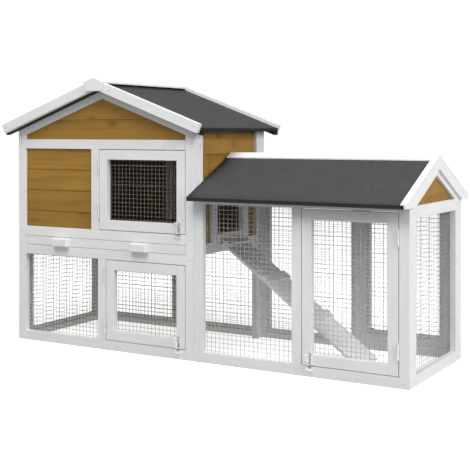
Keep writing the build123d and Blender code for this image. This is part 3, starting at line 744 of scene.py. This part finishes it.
@dataclass
class FeltCover:
    """Roofing felt laid over both slopes, turned down over the eaves and tucked under them."""

    node: str
    along: Vector
    outward: Vector
    finishes: Finishes
    lip: float = 1.9 * MM
    board: float = 8.5 * MM
    thick: float = 2.0 * MM
    tuck: float = 14.0 * MM
    courses: int = 26
    steps: int = 12
    ripple: float = 0.5 * MM
    ripple_share: float = 0.35
    eave_run: float = 50.0 * MM     # the eave's corners lie further from the ridge than this
    # painted shadow: how far down from the ridge the darker felt reaches
    ridge_band: float = 0.0
    level_share: float = 0.6    # a face with less rise than this in its normal is an edge

    def sheet(self, solid: bmesh.types.BMesh, draws: random.Random) -> bmesh.types.BMesh:
        """Make one slope's felt from its CAD slab.

        Args:
            solid: the CAD slab; it is freed.
            draws: the roof's random numbers.

        Returns:
            The felt with a soft ripple and a turned-down eave.
        """
        corners = [v.co.copy() for v in solid.verts]
        solid.free()
        start = min(c.dot(self.along) for c in corners)
        length = max(c.dot(self.along) for c in corners) - start
        section = {(round(c.dot(self.outward), 6), round(c.z, 6)) for c in corners}
        flat = sorted(section, key=lambda p: -p[1])
        ridge = flat[0]
        far = [p for p in flat if abs(p[0] - ridge[0]) > self.eave_run]
        eave = max(far, key=lambda p: p[1])
        slope = Vector((eave[0] - ridge[0], eave[1] - ridge[1]))
        down = slope.normalized()
        normal = Vector((-down.y, down.x)) if down.x > 0 else Vector((down.y, -down.x))
        mesh = bmesh.new()
        steps = self.steps
        drop = Vector(eave) - normal * (self.board + self.thick)
        tuck = drop - down * self.tuck
        rows = []
        for i in range(self.courses + 1):
            here = self.along * (start + length * i / self.courses)
            row = []
            for j in range(steps + 1):
                edge = i in (0, self.courses) or j in (0, steps)
                lift = 0.0 if edge else -abs(draws.gauss(0.0, self.ripple * self.ripple_share))
                point = Vector(ridge) + slope * (j / steps) + normal * lift
                row.append(mesh.verts.new(here + self.outward * point.x + UP * point.y))
            for point in (drop, tuck):
                row.append(mesh.verts.new(here + self.outward * point.x + UP * point.y))
            rows.append(row)
        for first, second in zip(rows, rows[1:]):
            for j in range(len(first) - 1):
                mesh.faces.new((first[j], first[j + 1], second[j + 1], second[j]))
        bmesh.ops.recalc_face_normals(mesh, faces=mesh.faces[:])
        if sum(f.normal.z for f in mesh.faces[:steps]) < 0:
            bmesh.ops.reverse_faces(mesh, faces=mesh.faces[:])
        bmesh.ops.solidify(mesh, geom=mesh.faces[:], thickness=self.lip)
        return mesh

    def build(self) -> bpy.types.Object:
        """Make the felt that stands for the node.

        Returns:
            The piece.
        """
        draws = random.Random(self.node)
        sheets = [self.sheet(solid, draws) for solid in solids_of(self.node)]
        piece = publish(merge(sheets), self.node + ".cover", "root", self.finishes.felt)
        for polygon in piece.data.polygons:
            polygon.use_smooth = abs(polygon.normal.z) > self.level_share
        # painted shade: faces that look sideways or down, the turned-down edge and the tuck, take the
        # darker felt
        piece.data.materials.append(self.finishes.bitumen)
        # painted shadow: on the house a band along the ridge also takes the darker felt, below the ridge
        # strip
        ridge = max(v.co.z for v in piece.data.vertices)
        for polygon in piece.data.polygons:
            is_edge = polygon.normal.z < self.level_share
            if is_edge or polygon.center.z > ridge - self.ridge_band:
                polygon.material_index = 1
        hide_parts(self.node)
        return piece


# ---------------------------------------------------------------- hardware


@dataclass
class ScrewHeads:
    """Low domed screw heads with a sunk cross, one on each CAD head."""

    node: str
    finishes: Finishes
    radius: float = 3.1 * MM
    height: float = 0.65 * MM
    recess: float = 1.5 * MM
    recess_floor: float = 0.15 * MM
    slot_width: float = 0.42 * MM
    sides: int = 20
    profile: Tuple[Tuple[float, float], ...] = ((1.0, 0.0), (0.96, 0.6), (0.72, 1.0))

    def head(self, mesh: bmesh.types.BMesh, centre: Vector, out: Vector) -> None:
        """Add one head: a shallow dome with a sunk cross.

        Args:
            mesh: the mesh that it goes in.
            centre: the middle of the head's seat.
            out: the way that it faces.
        """
        aside = out.orthogonal().normalized()
        other = out.cross(aside)

        def ring(radius: float, rise: float) -> List[bmesh.types.BMVert]:
            """A circle of corners round the head."""
            return [
                mesh.verts.new(
                    centre + out * rise + aside * (radius * math.cos(2 * math.pi * k / self.sides))
                    + other * (radius * math.sin(2 * math.pi * k / self.sides))
                )
                for k in range(self.sides)
            ]

        arm, waist = self.recess, self.slot_width
        cross = []
        for quarter in range(4):
            turn = quarter * math.pi / 2
            for along, beside in ((arm, -waist), (arm, waist), (waist, waist)):
                x = along * math.cos(turn) - beside * math.sin(turn)
                y = along * math.sin(turn) + beside * math.cos(turn)
                cross.append((x, y))
        rings = [ring(self.radius * wide, self.height * rise) for wide, rise in self.profile]
        for first, second in zip(rings, rings[1:]):
            for k in range(self.sides):
                nxt = (k + 1) % self.sides
                mesh.faces.new((first[k], first[nxt], second[nxt], second[k]))
        mesh.faces.new(rings[0][::-1])
        rim = [mesh.verts.new(centre + out * self.height + aside * x + other * y) for x, y in cross]
        base = centre + out * self.recess_floor
        floor = [mesh.verts.new(base + aside * x + other * y) for x, y in cross]
        top = rings[-1]
        edges = [mesh.edges.get((top[k], top[(k + 1) % self.sides])) for k in range(self.sides)]
        edges += [mesh.edges.new((rim[k], rim[(k + 1) % len(rim)])) for k in range(len(rim))]
        bmesh.ops.triangle_fill(mesh, edges=edges, use_beauty=True, normal=out)
        for k in range(len(rim)):
            nxt = (k + 1) % len(rim)
            mesh.faces.new((rim[k], rim[nxt], floor[nxt], floor[k]))
        mesh.faces.new(floor)

    def build(self) -> bpy.types.Object:
        """Make the heads that stand for the node.

        Returns:
            The piece.
        """
        mesh = bmesh.new()
        for solid in solids_of(self.node):
            cap = max(solid.faces, key=lambda face: face.calc_area())
            corners = [v.co for v in solid.verts]
            middle = sum(corners, Vector()) / len(corners)
            axis = cap.normal.copy()
            if axis.dot(middle) < 0:
                axis.negate()
            reach = (cap.calc_center_median() - middle).length
            solid.free()
            self.head(mesh, middle - axis * reach, axis)
        piece = publish(mesh, self.node + ".heads", "root", self.finishes.steel)
        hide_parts(self.node)
        return piece


def dress(node: str, material: bpy.types.Material) -> None:
    """Give a CAD node that keeps its shape its finish.

    Args:
        node: the CAD node.
        material: the finish.
    """
    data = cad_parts[node].data
    data.materials.clear()
    data.materials.append(material)
    LOG.info("%s: dressed", node)


# ---------------------------------------------------------------- sub-assemblies


@dataclass
class House:
    """The two-storey house: frames, siding, roof and ridge."""

    finishes: Finishes
    arris: float = 0.9 * MM
    siding_arris: float = 1.1 * MM
    roof_arris: float = 0.4 * MM
    # painted shade: heights of the back frame's rail whose inner faces take the dark inner finish
    lined_rail: Tuple[float, float] = (300.0 * MM, 400.0 * MM)
    gable_foot: float = 660.0 * MM
    # painted shadow: the band of darker felt below the ridge strip
    ridge_band: float = 6.5 * MM

    def build(self) -> None:
        """Build every piece of the house."""
        white, siding, lining = self.finishes.white, self.finishes.siding, self.finishes.lining
        Timber(
            "house_back_frame", "root", "white_paint", white, self.arris,
            lined_wall=Wall.BACK, lining=lining, lined_band=self.lined_rail,
        ).build()
        for node in (
            "house_front_frame", "house_left_frame", "house_right_frame", "pop_hole_surround",
            "front_bargeboards", "back_bargeboards", "house_ridge_strip", "apex_plate", "tray_runners",
        ):
            Timber(node, "root", "white_paint", white, self.arris).build()
        for wall in (Wall.FRONT, Wall.BACK, Wall.LEFT, Wall.RIGHT):
            # painted shade: the boards' faces inside the house take the dark inner finish
            Timber(
                f"house_{wall.word}_boards", "root", "stained_siding", siding, self.siding_arris,
                lined_wall=wall, lining=lining, tight_above=self.gable_foot,
            ).build()
        # painted shade: the house's roof boards are near black
        Timber("house_roof_boards", "root", "roof_board", self.finishes.verge, self.roof_arris).build()
        FeltCover(
            "house_roof_felt", along=Wall.BACK.outward, outward=Wall.RIGHT.outward,
            finishes=self.finishes, ridge_band=self.ridge_band,
        ).build()
        for wall in (Wall.FRONT, Wall.BACK, Wall.LEFT):
            # painted shade: the house's wires take the darker wire
            WirePanel(f"house_{wall.word}_mesh", "root", wall, self.finishes, dull=True).build()


@dataclass
class Run:
    """The low run: frames, gable board, roof and mesh."""

    finishes: Finishes
    arris: float = 0.9 * MM
    gable_arris: float = 0.7 * MM
    roof_arris: float = 0.4 * MM

    def build(self) -> None:
        """Build every piece of the run."""
        for node in (
            "run_front_frame", "run_back_frame", "run_end_frame", "run_bargeboards", "run_ridge_cap",
        ):
            Timber(node, "root", "white_paint", self.finishes.white, self.arris).build()
        Timber(
            "run_gable_board", "root", "stained_siding", self.finishes.siding, self.gable_arris
        ).build()
        # painted shade: the run's roof boards take the darker felt
        Timber("run_roof_boards", "root", "roof_board", self.finishes.bitumen, self.roof_arris).build()
        FeltCover(
            "run_roof_felt", along=Wall.RIGHT.outward, outward=Wall.BACK.outward,
            finishes=self.finishes,
        ).build()
        for node, wall in (("run_front_mesh", Wall.FRONT), ("run_back_mesh", Wall.BACK),
                           ("run_end_mesh", Wall.RIGHT)):
            WirePanel(node, "root", wall, self.finishes).build()


@dataclass
class Door:
    """A mesh door with its butt hinges and barrel bolt."""

    name: str
    bolt: str
    wall: Wall
    finishes: Finishes
    dull_mesh: bool = False

    def build(self) -> None:
        """Build the door's pieces."""
        Timber(self.name + "_frame", self.name, "white_paint", self.finishes.white).build()
        WirePanel(
            self.name + "_mesh", self.name, self.wall, self.finishes, self.dull_mesh
        ).build()
        dress(self.name + "_hinge_leaves", self.finishes.zinc)
        dress(self.bolt + "_plate", self.finishes.zinc)
        dress(self.bolt + "_rod", self.finishes.zinc)


@dataclass
class Tray:
    """The pull-out tray between the storeys."""

    finishes: Finishes
    handle_arris: float = 1.4 * MM
    handle_segments: int = 3
    box_arris: float = 0.5 * MM

    def build(self) -> None:
        """Build the tray's pieces."""
        Timber("tray_front", "tray", "white_paint", self.finishes.white).build()
        Timber(
            "tray_handles", "tray", "white_paint", self.finishes.white,
            self.handle_arris, self.handle_segments,
        ).build()
        Timber("tray_box", "tray", "tray_board", self.finishes.ply, self.box_arris).build()


@dataclass
class Ramp:
    """The ramp from the pop-hole to the ground."""

    finishes: Finishes
    arris: float = 0.8 * MM

    def build(self) -> None:
        """Build the ramp's pieces."""
        for node in ("ramp_board", "ramp_cleats"):
            Timber(node, "ramp", "ramp_paint", self.finishes.ramp, self.arris).build()
        dress("ramp_hinge_leaves", self.finishes.zinc)


@dataclass
class Hardware:
    """Fixed hinge leaves, pins, keepers and screws."""

    finishes: Finishes

    def build(self) -> None:
        """Build the fixed hardware."""
        for node in ("hinge_fixed_leaves", "hinge_pins", "bolt_keepers"):
            dress(node, self.finishes.zinc)
        ScrewHeads("frame_screws", self.finishes).build()


# ---------------------------------------------------------------- studio


@dataclass
class Studio:
    """Pale floor, backdrop, soft lights and the camera."""

    eye: Tuple[float, float, float] = (1.64078, -2.75956, 0.67677)
    turn: float = math.radians(30.18)
    lens: float = 78.05
    shift: float = -0.2178
    ambient: float = 0.37
    sensor: float = 36.0
    aim: Tuple[float, float, float] = (0.0, 0.0, 0.35)
    backdrop_radius: float = 30.0
    backdrop_glow: float = 1.02
    floor_size: float = 40.0
    floor_drop: float = 0.0005
    floor_glow: float = 0.68
    floor_pale: Colour = (0.95, 0.95, 0.95)
    floor_deep: Colour = (0.93, 0.93, 0.93)

    def floor(self) -> None:
        """Lay a pale, faintly glowing floor, which sends no light back to the hutch."""
        bpy.ops.mesh.primitive_plane_add(size=self.floor_size, location=(0, 0, -self.floor_drop))
        ground = bpy.context.object
        ground.name = "studio_floor"
        graph = Graph("studio_floor")
        cloud = graph.noise(graph.place(), 1.5, 2.0)
        body = graph.ramp(cloud, ((0.3, self.floor_deep), (0.7, self.floor_pale)))
        graph.feed(graph.shader.inputs["Base Color"], body)
        graph.shader.inputs["Roughness"].default_value = 0.9
        graph.shader.inputs["Specular IOR Level"].default_value = 0.1
        graph.shader.inputs["Emission Color"].default_value = (1.0, 1.0, 1.0, 1.0)
        graph.shader.inputs["Emission Strength"].default_value = self.floor_glow
        ground.data.materials.append(graph.material)
        ground.visible_diffuse = False

    def backdrop(self) -> None:
        """Hang a white dome far behind everything, which is seen but lights nothing."""
        dome = bmesh.new()
        bmesh.ops.create_uvsphere(dome, u_segments=48, v_segments=24, radius=self.backdrop_radius)
        data = bpy.data.meshes.new("studio_backdrop")
        dome.to_mesh(data)
        dome.free()
        shell = bpy.data.objects.new("studio_backdrop", data)
        bpy.context.scene.collection.objects.link(shell)
        graph = Graph("studio_backdrop")
        graph.shader.inputs["Base Color"].default_value = (0.0, 0.0, 0.0, 1.0)
        graph.shader.inputs["Emission Color"].default_value = (1.0, 1.0, 1.0, 1.0)
        graph.shader.inputs["Emission Strength"].default_value = self.backdrop_glow
        data.materials.append(graph.material)
        shell.visible_diffuse = False
        shell.visible_glossy = False
        shell.visible_shadow = False

    def panel(self, name: str, place: Tuple[float, float, float], size: float, power: float) -> None:
        """Hang a square soft light that looks at the hutch.

        Args:
            name: the light's name.
            place: where it hangs.
            size: its side in metres.
            power: its power in watts.
        """
        data = bpy.data.lights.new(name, "AREA")
        data.size = size
        data.energy = power
        lamp = bpy.data.objects.new(name, data)
        lamp.location = place
        aim = Vector(self.aim) - Vector(place)
        lamp.rotation_euler = aim.to_track_quat("-Z", "Y").to_euler()
        bpy.context.scene.collection.objects.link(lamp)

    def build(self) -> None:
        """Set up the floor, backdrop, lights, world and camera."""
        self.floor()
        self.backdrop()
        self.panel("key", (4.2, -1.0, 2.4), size=2.4, power=138.0)
        self.panel("top", (0.6, -1.2, 4.2), size=3.0, power=60.0)
        self.panel("front", (0.4, -3.2, 4.2), size=2.2, power=122.0)
        world = bpy.data.worlds.new("studio")
        bpy.context.scene.world = world
        world.use_nodes = True
        world.node_tree.nodes["Background"].inputs[0].default_value = (1.0, 1.0, 1.0, 1.0)
        world.node_tree.nodes["Background"].inputs[1].default_value = self.ambient
        bpy.context.scene.view_settings.view_transform = "Standard"
        data = bpy.data.cameras.new("camera")
        data.sensor_width = self.sensor
        data.lens = self.lens
        data.shift_y = self.shift
        camera = bpy.data.objects.new("camera", data)
        camera.location = self.eye
        camera.rotation_euler = (math.radians(90.0), 0.0, self.turn)
        bpy.context.scene.collection.objects.link(camera)
        bpy.context.scene.camera = camera


def main() -> None:
    """Build the hutch and its studio, in order."""
    logging.basicConfig(level=logging.INFO, format="%(message)s")
    finishes = Finishes()
    Studio().build()
    House(finishes).build()
    Run(finishes).build()
    Tray(finishes).build()
    Ramp(finishes).build()
    doors = (
        # painted shade: the house's doors take the darker wire
        Door("upper_door", "upper_bolt", Wall.FRONT, finishes, dull_mesh=True),
        Door("lower_door", "lower_bolt", Wall.FRONT, finishes, dull_mesh=True),
        Door("run_door", "run_bolt", Wall.FRONT, finishes),
        Door("run_back_door", "run_back_bolt", Wall.BACK, finishes),
    )
    for door in doors:
        door.build()
    Hardware(finishes).build()


if __name__ == "__main__":
    main()
